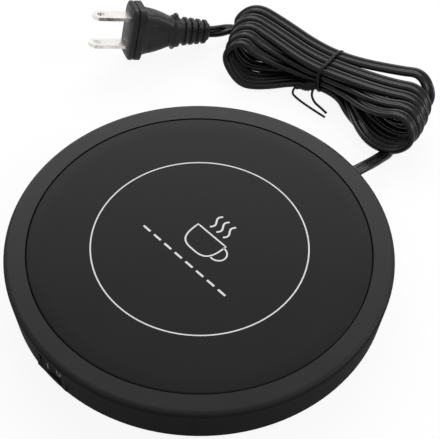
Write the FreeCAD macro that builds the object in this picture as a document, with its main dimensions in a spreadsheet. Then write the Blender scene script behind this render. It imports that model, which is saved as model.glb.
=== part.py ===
import FreeCAD, Part
import math
import os
import re
import Sketcher
from FreeCAD import Vector

# An electric mug warmer: a flat round case with a heated plate, a rocker switch in its front wall,
# and a flat two-core cord that leaves the back, lies in a tied hank and ends in a two-blade plug.
# Origin: centre of the footprint at table height, +Z up, switch at -Y. Sizes are in millimetres.

os.makedirs("parts", exist_ok=True)
doc = FreeCAD.newDocument("mug_warmer")
sheet = doc.addObject("Spreadsheet::Sheet", "sizes")

SIZES = {
    # case
    "case_radius": 70.0,
    "case_bottom_radius": 68.4,
    "foot_height": 2.0,
    "case_height": 16.0,
    "wall": 2.0,
    "edge_round": 1.8,
    "rim_width": 7.9,
    "ledge_width": 5.1,
    "ledge_thickness": 1.5,
    "floor_thickness": 2.0,
    "fit_gap": 0.3,
    # heated plate and the stack under it
    "plate_thickness": 2.0,
    "seal_width": 3.0,
    "mica_radius": 36.0,
    "mica_thickness": 0.4,
    "element_outer_radius": 34.0,
    "element_inner_radius": 10.0,
    "element_thickness": 0.3,
    "press_plate_radius": 45.0,
    "press_plate_thickness": 1.0,
    "stud_circle": 40.0,
    "stud_radius": 1.5,
    "nut_radius": 2.8,
    "nut_height": 2.4,
    "shield_radius": 52.0,
    "shield_thickness": 0.5,
    "thermostat_radius": 8.5,
    "thermostat_height": 4.4,
    "fuse_radius": 1.1,
    "fuse_length": 11.0,
    # fasteners and feet
    "screw_circle": 64.3,
    "screw_radius": 1.1,
    "screw_head_radius": 2.0,
    "screw_head_height": 1.0,
    "screw_length": 8.0,
    "boss_radius": 2.6,
    "foot_circle": 52.0,
    "foot_radius": 6.0,
    # switch
    "switch_height": 9.0,
    "bezel_width": 15.2,
    "bezel_tall": 10.1,
    "bezel_thickness": 1.1,
    "bezel_face": 68.9,
    "switch_body_width": 13.6,
    "switch_body_tall": 8.6,
    "switch_back": 57.0,
    "rocker_half_width": 4.9,
    "rocker_tall": 7.0,
    "rocker_throw": 8.0,
    "pivot_radius": 0.9,
    "pivot_gap": 0.05,
    "terminal_thickness": 0.8,
    "terminal_tall": 4.8,
    # cord
    "cord_thickness": 2.5,
    "cord_height": 8.0,
    "cord_azimuth": 83.0,
    "clamp_place": 56.0,
    "relief_length": 5.0,
    "relief_radius": 3.6,
    "relief_end_radius": 2.6,
    # plug
    "blade_spacing": 12.7,
    "blade_width": 6.35,
    "blade_thickness": 1.5,
    "blade_length": 15.9,
    "flange_tall": 25.0,
    "flange_wide": 14.0,
    "plug_length": 35.9,
    "tie_radius": 0.6,
}
for row, (alias, value) in enumerate(SIZES.items(), start=1):
    sheet.set(f"A{row}", alias)
    sheet.set(f"B{row}", str(value))
    sheet.setAlias(f"B{row}", alias)
doc.recompute()

# Sizes that follow from the driving ones, kept as formulas in the same sheet.
DERIVED = {
    "top": "=foot_height + case_height",
    "rim_inner_radius": "=case_radius - rim_width",
    "plate_radius": "=rim_inner_radius - fit_gap",
    "plate_under": "=top - plate_thickness",
    "ledge_top": "=plate_under - 1",
    "ledge_under": "=ledge_top - ledge_thickness",
    "ledge_inner_radius": "=rim_inner_radius - ledge_width",
    "floor_top": "=foot_height + floor_thickness",
    "press_top": "=plate_under - 2 * mica_thickness - element_thickness",
    "press_under": "=press_top - press_plate_thickness",
    "shield_top": "=press_under - nut_height",
    "shield_under": "=shield_top - shield_thickness",
    "stud_end": "=shield_under - nut_height - 0.4",
    "pivot_place": "=bezel_face - 4.1",
    "floor_radius": "=case_bottom_radius - wall - fit_gap",
}
for row, (alias, formula) in enumerate(DERIVED.items(), start=len(SIZES) + 1):
    sheet.set(f"A{row}", alias)
    sheet.set(f"B{row}", formula)
    sheet.setAlias(f"B{row}", alias)
    doc.recompute()
NAMES = set(SIZES) | set(DERIVED)


def size(alias):
    """The value of one named size."""
    return float(sheet.get(alias))


def bound(text):
    """A formula in plain size names, with each name pointed at the sheet."""
    return re.sub(r"[a-z_]{3,}", lambda word: "sizes." + word[0] if word[0] in NAMES else word[0], text)


def bind(item, **formulas):
    """Ties properties of an object to formulas of the named sizes."""
    for prop, formula in formulas.items():
        item.setExpression(prop.replace("__", "."), bound(str(formula)))
    return item


def move(item, x="0", y="0", z="0"):
    """Ties an object's place to formulas of the named sizes."""
    item.setExpression("Placement.Base.x", bound(x))
    item.setExpression("Placement.Base.y", bound(y))
    item.setExpression("Placement.Base.z", bound(z))
    return item


def box(name, x_size, y_size, z_size, x, y, z):
    """A box centred on x and standing on the given y and z."""
    item = bind(doc.addObject("Part::Box", name), Length=x_size, Width=y_size, Height=z_size)
    return move(item, f"{x} - ({x_size}) / 2", y, z)


def rod(name, radius, height, x="0", y="0", z="0", axis=None):
    """A cylinder from the given place along +Z, or along another axis."""
    item = bind(doc.addObject("Part::Cylinder", name), Radius=radius, Height=height)
    if axis is not None:
        item.Placement = FreeCAD.Placement(Vector(), FreeCAD.Rotation(Vector(0, 0, 1), axis))
    return move(item, x, y, z)


def turned(name, outline):
    """A body of revolution about Z from an outline of (radius, height) formulas."""
    body = doc.addObject("PartDesign::Body", name)
    plane = next(f for f in body.Origin.OriginFeatures if f.Role == "XZ_Plane")
    sketch = body.newObject("Sketcher::SketchObject", name + "_outline")
    sketch.AttachmentSupport = [(plane, "")]
    sketch.MapMode = "FlatFace"
    doc.recompute()
    probe = doc.addObject("Spreadsheet::Sheet", "probe")
    corners = []
    for radius, height in outline:
        probe.set("A1", "=" + bound(radius))
        probe.set("A2", "=" + bound(height))
        doc.recompute()
        corners.append((float(probe.get("A1")), float(probe.get("A2"))))
    doc.removeObject(probe.Name)
    count = len(corners)
    for i in range(count):
        start = Vector(*corners[i], 0)
        end = Vector(*corners[(i + 1) % count], 0)
        sketch.addGeometry(Part.LineSegment(start, end), False)
    for i in range(count):
        sketch.addConstraint(Sketcher.Constraint("Coincident", i, 2, (i + 1) % count, 1))
    for i, (radius, height) in enumerate(outline):
        if radius == "0":
            sketch.addConstraint(Sketcher.Constraint("PointOnObject", i, 1, -2))
        else:
            place = sketch.addConstraint(Sketcher.Constraint("DistanceX", -1, 1, i, 1, corners[i][0]))
            sketch.setExpression(f"Constraints[{place}]", bound(radius))
        if height == "0":
            sketch.addConstraint(Sketcher.Constraint("PointOnObject", i, 1, -1))
        else:
            place = sketch.addConstraint(Sketcher.Constraint("DistanceY", -1, 1, i, 1, corners[i][1]))
            sketch.setExpression(f"Constraints[{place}]", bound(height))
    turn = body.newObject("PartDesign::Revolution", name + "_turn")
    turn.Profile = sketch
    turn.ReferenceAxis = (sketch, ["V_Axis"])
    turn.Angle = 360.0
    doc.recompute()
    return body


def rings(radius_in, radius_out, low, high):
    """The outline of a flat ring, or of a disc where the inner radius is 0."""
    return [(radius_in, low), (radius_out, low), (radius_out, high), (radius_in, high)]


def joined(name, pieces):
    """Several solids as one."""
    item = doc.addObject("Part::MultiFuse", name)
    item.Shapes = pieces
    return item


def grouped(name, pieces):
    """Several separate solids in one node."""
    item = doc.addObject("Part::Compound", name)
    item.Links = pieces
    return item


def without(name, base, tools):
    """A solid with others cut away."""
    item = doc.addObject("Part::Cut", name)
    item.Base = base
    item.Tool = tools[0] if len(tools) == 1 else joined(name + "_tools", tools)
    return item


def circle_edges(shape, radius, height):
    """Names of the circular edges of one radius at one height."""
    found = []
    for number, edge in enumerate(shape.Edges, start=1):
        curve = edge.Curve
        if isinstance(curve, Part.Circle) and abs(curve.Radius - radius) < 0.01:
            if abs(curve.Center.z - height) < 0.01:
                found.append(f"Edge{number}")
    return found


def around(formula_radius, angle):
    """Formulas for a place on a circle."""
    return f"({formula_radius}) * cos({angle} deg)", f"({formula_radius}) * sin({angle} deg)"


NODES = {}
SCREW_ANGLES = (30, 150, 210, 330)
QUARTERS = (45, 135, 225, 315)


def top_cover():
    """Side wall and flat rim in one moulding, with a ledge for the plate and four screw bosses."""
    shell = turned("cover_shell", [
        ("case_bottom_radius", "foot_height"),
        ("case_radius", "top"),
        ("rim_inner_radius", "top"),
        ("rim_inner_radius", "ledge_top"),
        ("ledge_inner_radius", "ledge_top"),
        ("ledge_inner_radius", "ledge_under"),
        ("rim_inner_radius + 1.5", "ledge_under"),
        ("rim_inner_radius + 1.5", "top - wall"),
        ("case_radius - wall - 0.2", "top - wall"),
        ("case_bottom_radius - wall", "foot_height"),
    ])
    turned_shell = shell.Tip
    edge = shell.newObject("PartDesign::Fillet", "cover_edge")
    edge.Base = (turned_shell, circle_edges(shell.Shape, size("case_radius"), size("top")))
    bind(edge, Radius="edge_round")
    doc.recompute()
    bosses = []
    for angle in SCREW_ANGLES:
        x, y = around("screw_circle", angle)
        bosses.append(rod(f"boss_{angle}", "boss_radius", "top - wall - floor_top - 0.1", x, y, "floor_top + 0.1"))
    cuts = [
        box("switch_window", "switch_body_width + 0.4", "14", "switch_body_tall + 0.4",
            "0", "-case_radius - 2", "switch_height - switch_body_tall / 2 - 0.2"),
        box("bezel_seat", "bezel_width + 0.3", "6", "bezel_tall + 0.3",
            "0", "bezel_thickness - bezel_face - 5.9", "switch_height - bezel_tall / 2 - 0.15"),
        radial_rod("relief_hole", "relief_radius - 0.9", "case_radius - 8", "12"),
    ]
    for angle in SCREW_ANGLES:
        x, y = around("screw_circle", angle)
        cuts.append(rod(f"boss_hole_{angle}", "screw_radius + 0.05", "screw_length + 1", x, y, "foot_height"))
    NODES["top_cover"] = without("cover", joined("cover_body", [shell] + bosses), cuts)


def radial_rod(name, radius, start, length):
    """A cylinder along the cord's outlet direction, at the cord's height."""
    turn = math.radians(size("cord_azimuth"))
    item = rod(name, radius, length, axis=Vector(math.cos(turn), math.sin(turn), 0))
    return move(item, f"({start}) * cos(cord_azimuth * 1 deg)", f"({start}) * sin(cord_azimuth * 1 deg)",
                "cord_height")


def base_pan():
    """Flat floor with holes for the screws and two posts for the cord clamp."""
    floor = turned("pan_floor", rings("0", "floor_radius", "foot_height", "floor_top"))
    posts = [clamp_rod(f"clamp_post_{side}", "2.4", "cord_height - floor_top", side, "floor_top - 0.2")
             for side in (-1, 1)]
    cuts = [clamp_rod(f"clamp_post_hole_{side}", "screw_radius + 0.05", "cord_height", side, "foot_height + 1")
            for side in (-1, 1)]
    for angle in SCREW_ANGLES:
        x, y = around("screw_circle", angle)
        cuts.append(rod(f"floor_hole_{angle}", "screw_radius + 0.2", "floor_thickness + 2", x, y, "foot_height - 1"))
        cuts.append(rod(f"floor_seat_{angle}", "screw_head_radius + 0.2", "screw_head_height + 1.2", x, y,
                        "foot_height - 1"))
    NODES["base_pan"] = without("pan", joined("pan_body", [floor] + posts), cuts)


def clamp_rod(name, radius, height, side, z):
    """An upright cylinder at one side of the cord, where the clamp sits."""
    x = f"clamp_place * cos(cord_azimuth * 1 deg) - {side * 6.0} * sin(cord_azimuth * 1 deg)"
    y = f"clamp_place * sin(cord_azimuth * 1 deg) + {side * 6.0} * cos(cord_azimuth * 1 deg)"
    return rod(name, radius, height, x, y, z)


def heating_stack():
    """Plate, seal, mica sheets, foil element, pressure plate and heat shield, from the top down."""
    plate = turned("heating_plate", rings("0", "plate_radius", "plate_under", "top"))
    NODES["heating_plate"] = plate
    NODES["plate_seal"] = turned("plate_seal", rings(
        "plate_radius - seal_width - 0.3", "plate_radius - 0.3", "ledge_top", "plate_under"))
    NODES["upper_mica_sheet"] = turned("upper_mica_sheet", rings(
        "0", "mica_radius", "plate_under - mica_thickness", "plate_under"))
    NODES["heating_element"] = turned("heating_element", rings(
        "element_inner_radius", "element_outer_radius",
        "plate_under - mica_thickness - element_thickness", "plate_under - mica_thickness"))
    NODES["lower_mica_sheet"] = turned("lower_mica_sheet", rings(
        "0", "mica_radius", "press_top", "press_top + mica_thickness"))
    press = turned("press_disc", rings("0", "press_plate_radius", "press_under", "press_top"))
    NODES["pressure_plate"] = without("press", press, stud_rods("press_hole", "stud_radius + 0.1",
                                                              "press_under - 1", "4"))
    shield = turned("shield_disc", rings("thermostat_radius + 1", "shield_radius", "shield_under", "shield_top"))
    wire_hole = rod("wire_hole", "2.6", "4", "24.4", "8.2", "shield_under - 1")
    NODES["heat_shield"] = without("shield", shield, [wire_hole] + stud_rods(
        "shield_hole", "stud_radius + 0.1", "shield_under - 1", "4"))
    NODES["plate_studs"] = grouped("studs", stud_rods("stud", "stud_radius", "stud_end", "plate_under - stud_end"))


def stud_rods(name, radius, z, height):
    """Four upright cylinders on the stud circle."""
    rods = []
    for angle in QUARTERS:
        x, y = around("stud_circle", angle)
        rods.append(rod(f"{name}_{angle}", radius, height, x, y, z))
    return rods


def stud_nuts():
    """A nut under the pressure plate and a lock nut under the heat shield on each stud."""
    nuts = []
    for level, z in (("upper", "press_under - nut_height"), ("lower", "shield_under - nut_height")):
        for angle in QUARTERS:
            x, y = around("stud_circle", angle)
            block = bind(doc.addObject("Part::Prism", f"{level}_nut_block_{angle}"),
                         Circumradius="nut_radius", Height="nut_height")
            block.Polygon = 6
            move(block, x, y, z)
            hole = rod(f"{level}_nut_hole_{angle}", "stud_radius + 0.05", "nut_height + 2", x, y, f"{z} - 1")
            nuts.append(without(f"{level}_nut_{angle}", block, [hole]))
    NODES["stud_nuts"] = grouped("nuts", nuts)


def heat_controls():
    """Snap-disc thermostat at the centre and a thermal fuse beside it, both on the pressure plate."""
    NODES["thermostat"] = turned("thermostat", rings(
        "0", "thermostat_radius", "press_under - thermostat_height", "press_under"))
    NODES["thermal_fuse"] = rod("thermal_fuse", "fuse_radius", "fuse_length", "24", "-fuse_length / 2",
                                "press_under - fuse_radius - 0.05", Vector(0, 1, 0))


def fasteners_and_feet():
    """Screws through the floor into the cover's bosses, clamp screws, and four rubber feet."""
    screws = []
    for angle in SCREW_ANGLES:
        x, y = around("screw_circle", angle)
        head = rod(f"screw_head_{angle}", "screw_head_radius", "screw_head_height", x, y, "foot_height + 0.2")
        shank = rod(f"screw_shank_{angle}", "screw_radius", "screw_length - 0.5", x, y, "foot_height + 0.2")
        screws.append(joined(f"screw_{angle}", [head, shank]))
    NODES["case_screws"] = grouped("screws", screws)
    feet = []
    for angle in QUARTERS:
        x, y = around("foot_circle", angle)
        feet.append(rod(f"foot_{angle}", "foot_radius", "foot_height", x, y, "0"))
    NODES["rubber_feet"] = grouped("feet", feet)


def switch_housing():
    """Moulded box with a flat bezel, open at the front, with bearings for the rocker's pins."""
    low = "switch_height - switch_body_tall / 2"
    shell = joined("housing_solid", [
        box("housing_block", "switch_body_width", "bezel_face - switch_back", "switch_body_tall",
            "0", "-bezel_face", low),
        box("bezel_plate", "bezel_width", "bezel_thickness", "bezel_tall",
            "0", "-bezel_face", "switch_height - bezel_tall / 2"),
    ])
    cuts = [
        box("housing_hollow", "2 * rocker_half_width + 1.8", "bezel_face - switch_back + 4", "rocker_tall + 0.4",
            "0", "-bezel_face - 5", "switch_height - rocker_tall / 2 - 0.2"),
        rod("pin_holes", "pivot_radius + pivot_gap", "switch_body_tall + 2", "0", "-pivot_place", f"{low} - 1"),
        box("middle_slot", "terminal_thickness + 0.1", "4", "terminal_tall + 0.1", "0", "-switch_back - 2",
            "switch_height - terminal_tall / 2 - 0.05"),
        box("side_slot", "terminal_thickness + 0.1", "4", "terminal_tall + 0.1", "3.8", "-switch_back - 2",
            "switch_height - terminal_tall / 2 - 0.05"),
    ]
    NODES["switch_housing"] = without("housing", shell, cuts)


def prism(name, corners, low, high):
    """A prism between two heights over a flat outline of points."""
    wire = Part.makePolygon([Vector(x, y, low) for x, y in corners + corners[:1]])
    item = doc.addObject("Part::Feature", name)
    item.Shape = Part.Face(wire).extrude(Vector(0, 0, high - low))
    return item


def switch_rocker():
    """V-faced rocker with two pins, tilted to OFF, and the plunger that pushes the contact."""
    half = size("rocker_half_width")
    tall = size("rocker_tall") / 2
    dip = 3.2
    rise = dip + half * math.tan(math.radians(size("rocker_throw")))
    outline = [(-half, -rise), (0, -dip), (half, -rise), (half, -1.0), (1.3, 1.2), (-1.3, 1.2), (-half, -1.0)]
    paddle = prism("rocker_paddle", outline, -tall, tall)
    reach = size("switch_body_tall") / 2 - 0.2
    pins = doc.addObject("Part::Feature", "rocker_pins")
    pins.Shape = Part.makeCylinder(size("pivot_radius"), 2 * reach, Vector(0, 0, -reach))
    tilted_at_pivot(joined("rocker", [paddle, pins]), "switch_rocker", size("pivot_place"), 1)
    tip = doc.addObject("Part::Feature", "plunger_rod")
    tip.Shape = Part.makeCylinder(0.7, 2.2, Vector(0, 1.25, 0), Vector(0, 1, 0))
    tilted_at_pivot(tip, "switch_plunger", size("pivot_place"), 1)


def tilted_at_pivot(item, node, pivot, share):
    """Puts a piece on its pivot, turned by a share of the rocker's throw."""
    turn = FreeCAD.Rotation(Vector(0, 0, 1), share * size("rocker_throw"))
    item.Placement = FreeCAD.Placement(Vector(0, -pivot, size("switch_height")), turn)
    NODES[node] = item


def switch_contact():
    """See-saw strip with a round ridge that rocks on the middle terminal, against the rocker's way."""
    strip = doc.addObject("Part::Feature", "contact_strip")
    bar = Part.makeBox(8.4, 0.5, 4.0, Vector(-4.2, -0.5, -2.0))
    ridge = Part.makeCylinder(0.3, 4.0, Vector(0, 0, -2.0))
    strip.Shape = bar.fuse(ridge).removeSplitter()
    tilted_at_pivot(strip, "switch_contact", contact_place(), -0.8)


def contact_place():
    """Distance of the contact's tipping edge from the case's centre."""
    return size("pivot_place") - 4.6


def switch_terminals():
    """Middle terminal under the see-saw and side terminal at its far end."""
    low = "switch_height - terminal_tall / 2"
    NODES["switch_terminals"] = grouped("terminals", [
        box("middle_terminal", "terminal_thickness", "pivot_place - 4.95 - switch_back + 5", "terminal_tall",
            "0", "-(pivot_place - 4.95)", low),
        box("side_terminal", "terminal_thickness", "pivot_place - 5.6 - switch_back + 5", "terminal_tall",
            "3.8", "-(pivot_place - 5.6)", low),
    ])


def rounded_path(points, share):
    """Straight runs joined by tangent arcs. Each arc starts at a share of its shorter run.

    Returns the wire, its length and the arc radii.
    """
    edges = []
    radii = []
    last = points[0]
    for before, corner, after in zip(points, points[1:], points[2:]):
        run_in = before - corner
        run_out = after - corner
        reach = share * min(run_in.Length, run_out.Length)
        turn = math.pi - run_in.getAngle(run_out)
        radii.append(reach / math.tan(turn / 2))
        start = corner + run_in.normalize() * reach
        end = corner + run_out.normalize() * reach
        middle_way = (start + end) * 0.5 - corner
        distance = radii[-1] * (1 / math.cos(turn / 2) - 1)
        middle = corner + middle_way.normalize() * distance
        if (start - last).Length > 1e-4:
            edges.append(Part.LineSegment(last, start).toShape())
        edges.append(Part.Arc(start, middle, end).toShape())
        last = end
    edges.append(Part.LineSegment(last, points[-1]).toShape())
    wire = Part.Wire(edges)
    return wire, wire.Length, radii


def tube(name, points, radius, share=0.45):
    """A round tube along a route of points, with its size checked against section times length."""
    wire, length, radii = rounded_path(points, share)
    first = wire.Edges[0]
    start = first.valueAt(first.FirstParameter)
    direction = first.tangentAt(first.FirstParameter)
    ring = Part.Wire(Part.makeCircle(radius, start, direction))
    item = doc.addObject("Part::Feature", name)
    item.Shape = wire.makePipeShell([ring], True, False)
    expected = math.pi * radius ** 2 * length
    print(f"{name}: length {length:.1f}, radii {min(radii):.1f} to {max(radii):.1f},",
          f"volume over section times length {item.Shape.Volume / expected:.4f}")
    return item, wire


# The hank lies across the back of the case. Its own axes: along it, across it, and up.
HANK_CENTRE = (-35.5, 105.5)
HANK_ANGLE = 16.0
LOOPS = 5
LEFT_END = [41.5, 42.5, 43.5, 44.5, 45.5]
RIGHT_END = [47.5, 47.5, 47.5, 47.5, 46.5]
LEFT_TOP_ACROSS = [-11.0, -6.0, -1.0, 4.0, 12.2]
RIGHT_TOP_ACROSS = [-21.0, -14.2, -7.4, -0.6, 8.5]
LEFT_LEAN = 5.5
RIGHT_LEAN = 2.0
LEFT_LOW, LEFT_HIGH = 1.35, 17.5
RIGHT_LOW, RIGHT_HIGH = 4.6, 19.5
WAIST_HALF = 8.0
WAIST_SHIFT = 1.0
WAIST_LOW = 2.6
WAIST_STEP_ACROSS = 5.3
WAIST_STEP_UP = 3.25
SHOULDER = 28.0
SPREAD = 0.76
LIFT = 0.45
OVER_LEAD = 4.05
UPPER_SLOTS = [(-1, 1), (-1, 2), (-1, 3), (0, 3), (1, 3)]
LOWER_SLOTS = [(-1, 0), (0, 0), (0, 1), (0, 2), (1, 0), (1, 1)]


def hank_point(along, across, up):
    """A point of the hank's own axes in the object's frame."""
    turn = math.radians(HANK_ANGLE)
    x = HANK_CENTRE[0] + along * math.cos(turn) - across * math.sin(turn)
    y = HANK_CENTRE[1] + along * math.sin(turn) + across * math.cos(turn)
    return Vector(x, y, up)


def waist_place(slot):
    """Where a run passes the waist, from its column and row in the bundle."""
    column, row = slot
    return WAIST_SHIFT + column * WAIST_STEP_ACROSS, WAIST_LOW + row * WAIST_STEP_UP


def blend(end_value, waist_value, share):
    """A value between an end of the hank and its waist."""
    return end_value * share + waist_value * (1 - share)


def hank_route():
    """The coil's route: each lower run goes left, each upper run comes back right."""
    route = [(38.4, -26.0, 1.35), (36.0, -20.5, 1.3), (26.0, -18.5, 1.3), (16.5, -10.5, 1.8)]
    for turn in range(LOOPS + 1):
        across, up = waist_place(LOWER_SLOTS[turn])
        if turn > 0:
            end = RIGHT_TOP_ACROSS[turn - 1] - RIGHT_LEAN
            rise = blend(RIGHT_LOW, up, LIFT) if turn > 1 else OVER_LEAD
            route += [(RIGHT_END[turn - 1], end, RIGHT_LOW), (SHOULDER, blend(end, across, SPREAD), rise)]
        route += [(WAIST_HALF, across, up), (-WAIST_HALF, across, up)]
        if turn == LOOPS:
            break
        end = LEFT_TOP_ACROSS[turn] - LEFT_LEAN
        route += [(-SHOULDER, blend(end, across, SPREAD), blend(LEFT_LOW, up, LIFT)),
                  (-LEFT_END[turn], end, LEFT_LOW)]
        across, up = waist_place(UPPER_SLOTS[turn])
        end = LEFT_TOP_ACROSS[turn]
        route += [(-LEFT_END[turn], end, LEFT_HIGH),
                  (-SHOULDER, blend(end, across, SPREAD), blend(LEFT_HIGH, up, 0.5)),
                  (-WAIST_HALF, across, up), (WAIST_HALF, across, up)]
        end = RIGHT_TOP_ACROSS[turn]
        route += [(SHOULDER, blend(end, across, SPREAD), blend(RIGHT_HIGH, up, 0.5)),
                  (RIGHT_END[turn], end, RIGHT_HIGH)]
    route += [(-SHOULDER, 2.8, blend(LEFT_LOW, waist_place(LOWER_SLOTS[-1])[1], LIFT)),
              (-36.0, 2.5, LEFT_LOW), (-43.0, 2.1, LEFT_LOW)]
    return [hank_point(*place) for place in route]


def least_gap(wire, diameter, apart):
    """Least gap of a tube to itself, from points 0.7 apart that lie at least `apart` apart along it."""
    places = wire.discretize(Distance=0.7)
    step = wire.Length / (len(places) - 1)
    skip = int(apart / step)
    least = 1000.0
    for i, one in enumerate(places):
        for other in places[i + skip:]:
            if abs(one.x - other.x) < 4 and abs(one.y - other.y) < 4 and abs(one.z - other.z) < 4:
                least = min(least, one.distanceToPoint(other))
    return least - diameter


# The cord's free stretches, as points chosen along the way it lies.
LEAD_OUT = [Vector(10.0, 84.0, 5.6)]
PLUG_LEAD = [Vector(-82.6, 93.9, 1.35)]


def cord():
    """The cord in three stretches: case to hank, the hank, and hank to plug."""
    radius = size("cord_thickness") / 2
    turn = math.radians(size("cord_azimuth"))
    outward = Vector(math.cos(turn), math.sin(turn), 0)
    inside = outward * (size("clamp_place") - 3) + Vector(0, 0, size("cord_height"))
    outlet = outward * (size("case_radius") + 6.5) + Vector(0, 0, size("cord_height"))
    hank = hank_route()
    start = (hank[0] + hank[1]) * 0.5
    end = hank[-1]
    middle = (inside + outlet) * 0.5 + Vector(0, 0, 0.02)
    lead, _ = tube("lead", [inside, middle, outlet] + LEAD_OUT + [hank[0], start], radius)
    NODES["cord_lead"] = lead
    coil, path = tube("coil", [start] + hank[1:], radius, 0.5)
    NODES["cord_hank"] = coil
    print(f"hank: least gap to itself {least_gap(path, 2 * radius, 14):.2f}, length {path.Length:.0f}")
    plug_end = plug_place().multVec(Vector(0, 0, 0))
    plug_start = plug_end + plug_place().Rotation.multVec(Vector(4, 0, 0))
    NODES["cord_plug_lead"], _ = tube("plug_lead", [end] + PLUG_LEAD + [plug_start, plug_end], radius)


PLUG_REAR = Vector(-88.9, 88.0, 5.7)
PLUG_DIRECTION = Vector(-0.470, -0.873, 0.242)
PLUG_ROLL = 77.0


def plug_place():
    """Plug axes at the cord's end: x along the cord, y across the blades' row, z along the row."""
    back = (PLUG_DIRECTION * -1).normalize()
    flat = Vector(0, 0, 1).cross(back).normalize()
    upright = back.cross(flat)
    lean = math.radians(PLUG_ROLL)
    row = upright * math.sin(lean) + flat * math.cos(lean)
    across = row.cross(back)
    matrix = FreeCAD.Matrix(back.x, across.x, row.x, PLUG_REAR.x, back.y, across.y, row.y, PLUG_REAR.y,
                            back.z, across.z, row.z, PLUG_REAR.z, 0, 0, 0, 1)
    return FreeCAD.Placement(matrix)


def rounded_section(x, wide, tall, corner):
    """A rounded rectangle across the plug's axis."""
    y, z = wide / 2 - corner, tall / 2 - corner
    edges = []
    for index, (cy, cz) in enumerate(((y, z), (-y, z), (-y, -z), (y, -z))):
        centre = Vector(x, cy, cz)
        angles = [math.radians(90 * index + step) for step in (0, 45, 90)]
        ends = [centre + Vector(0, math.cos(a), math.sin(a)) * corner for a in angles]
        edges.append(Part.Arc(*ends).toShape())
    for index in range(4):
        edges.append(Part.LineSegment(edges[index].Vertexes[-1].Point, edges[(index + 1) % 4].Vertexes[0].Point)
                     .toShape())
    return Part.Wire(Part.__sortEdges__(edges))


def plug():
    """Moulded two-blade plug: flange, waisted grip, collar and ribbed strain relief."""
    place = plug_place()
    length = size("plug_length")
    tall, wide = size("flange_tall"), size("flange_wide")
    face = -length
    stages = [
        (face, face + 5.5, (wide, tall, 3.0), (wide, tall, 3.0)),
        (face + 5.0, face + 13.0, (wide - 2.4, tall - 4.5, 3.0), (wide - 3.4, tall - 8.0, 3.2)),
        (face + 12.9, face + 19.5, (wide - 3.4, tall - 8.0, 3.2), (wide - 4.2, tall - 13.0, 3.0)),
        (face + 19.0, face + 22.6, (wide - 1.6, tall - 10.5, 3.0), (wide - 2.2, tall - 11.2, 3.0)),
        (face + 22.0, 0.0, (8.6, 11.5, 2.6), (5.0, 7.0, 1.6)),
    ]
    for rib in range(4):
        x = face + 24.4 + 2.9 * rib
        stages.append((x, x + 1.5, (10.0 - rib, 13.4 - 1.4 * rib, 2.6), (9.6 - rib, 12.8 - 1.4 * rib, 2.5)))
    body = None
    for start, end, first, last in stages:
        part = Part.makeLoft([rounded_section(start, *first), rounded_section(end, *last)], True, True)
        body = part if body is None else body.fuse(part)
    blades = []
    for side in (-1, 1):
        z = side * size("blade_spacing") / 2
        thick, width, reach = size("blade_thickness"), size("blade_width"), size("blade_length")
        blade = Part.makeBox(reach + 6 - width / 2, width, thick, Vector(face - reach + width / 2, -width / 2, z - thick / 2))
        tip = Part.makeCylinder(width / 2, thick, Vector(face - reach + width / 2, 0, z - thick / 2))
        hole = Part.makeCylinder(1.55, 3 * thick, Vector(face - reach + 3.5, 0, z - 1.5 * thick))
        blade = blade.fuse(tip).removeSplitter().cut(hole)
        blades.append(blade)
    body = body.cut(Part.makeCompound(blades)).removeSplitter()
    item = doc.addObject("Part::Feature", "plug_moulding")
    item.Shape = body
    item.Placement = place
    NODES["plug_body"] = item
    metal = doc.addObject("Part::Feature", "blades")
    metal.Shape = Part.makeCompound(blades)
    metal.Placement = place
    NODES["plug_blades"] = metal


def twist_tie():
    """Wire tie round the hank's waist, with its twisted tail at the front."""
    radius = size("tie_radius")
    clear = size("cord_thickness") / 2 + radius + 0.25
    left = WAIST_SHIFT - WAIST_STEP_ACROSS - clear
    right = WAIST_SHIFT + WAIST_STEP_ACROSS + clear
    low = WAIST_LOW - clear + 0.1
    high = WAIST_LOW + 3 * WAIST_STEP_UP + clear
    corners = [(left, 6.0), (left, high), (right, high), (right, low), (left, low), (left, 5.9)]
    points = [hank_point(1.0 - 0.25 * index, across, up) for index, (across, up) in enumerate(corners)]
    points[0] = hank_point(1.6, left, 6.0)
    loop, _ = tube("tie_loop", points, radius, 0.18)
    NODES["twist_tie"] = loop
    tail, _ = tube("tie_tail", [hank_point(-0.6, left - 1.9, 5.0), hank_point(-5.0, left - 2.6, 4.2),
                                hank_point(-10.5, left - 3.2, 2.6)], 2 * radius)
    NODES["tie_tail"] = tail


def strain_relief():
    """Rubber bush in the back wall: inner flange, neck in the hole, tapered sleeve outside."""
    outer = size("case_radius") - 0.6
    bore = size("cord_thickness") / 2 + 0.05
    neck = size("relief_radius") - 1.0
    turn = math.radians(size("cord_azimuth"))
    outward = Vector(math.cos(turn), math.sin(turn), 0)
    origin = Vector(0, 0, size("cord_height"))
    sleeve = Part.makeCone(size("relief_radius"), size("relief_end_radius"), size("relief_length"),
                           origin + outward * outer, outward)
    throat = Part.makeCylinder(neck, 4.4, origin + outward * (outer - 4.2), outward)
    flange = Part.makeCylinder(size("relief_radius"), 1.4, origin + outward * (outer - 4.4), outward)
    hole = Part.makeCylinder(bore, 40, origin + outward * (outer - 20), outward)
    item = doc.addObject("Part::Feature", "relief")
    item.Shape = sleeve.fuse(throat).fuse(flange).cut(hole).removeSplitter()
    NODES["cord_strain_relief"] = item


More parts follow.
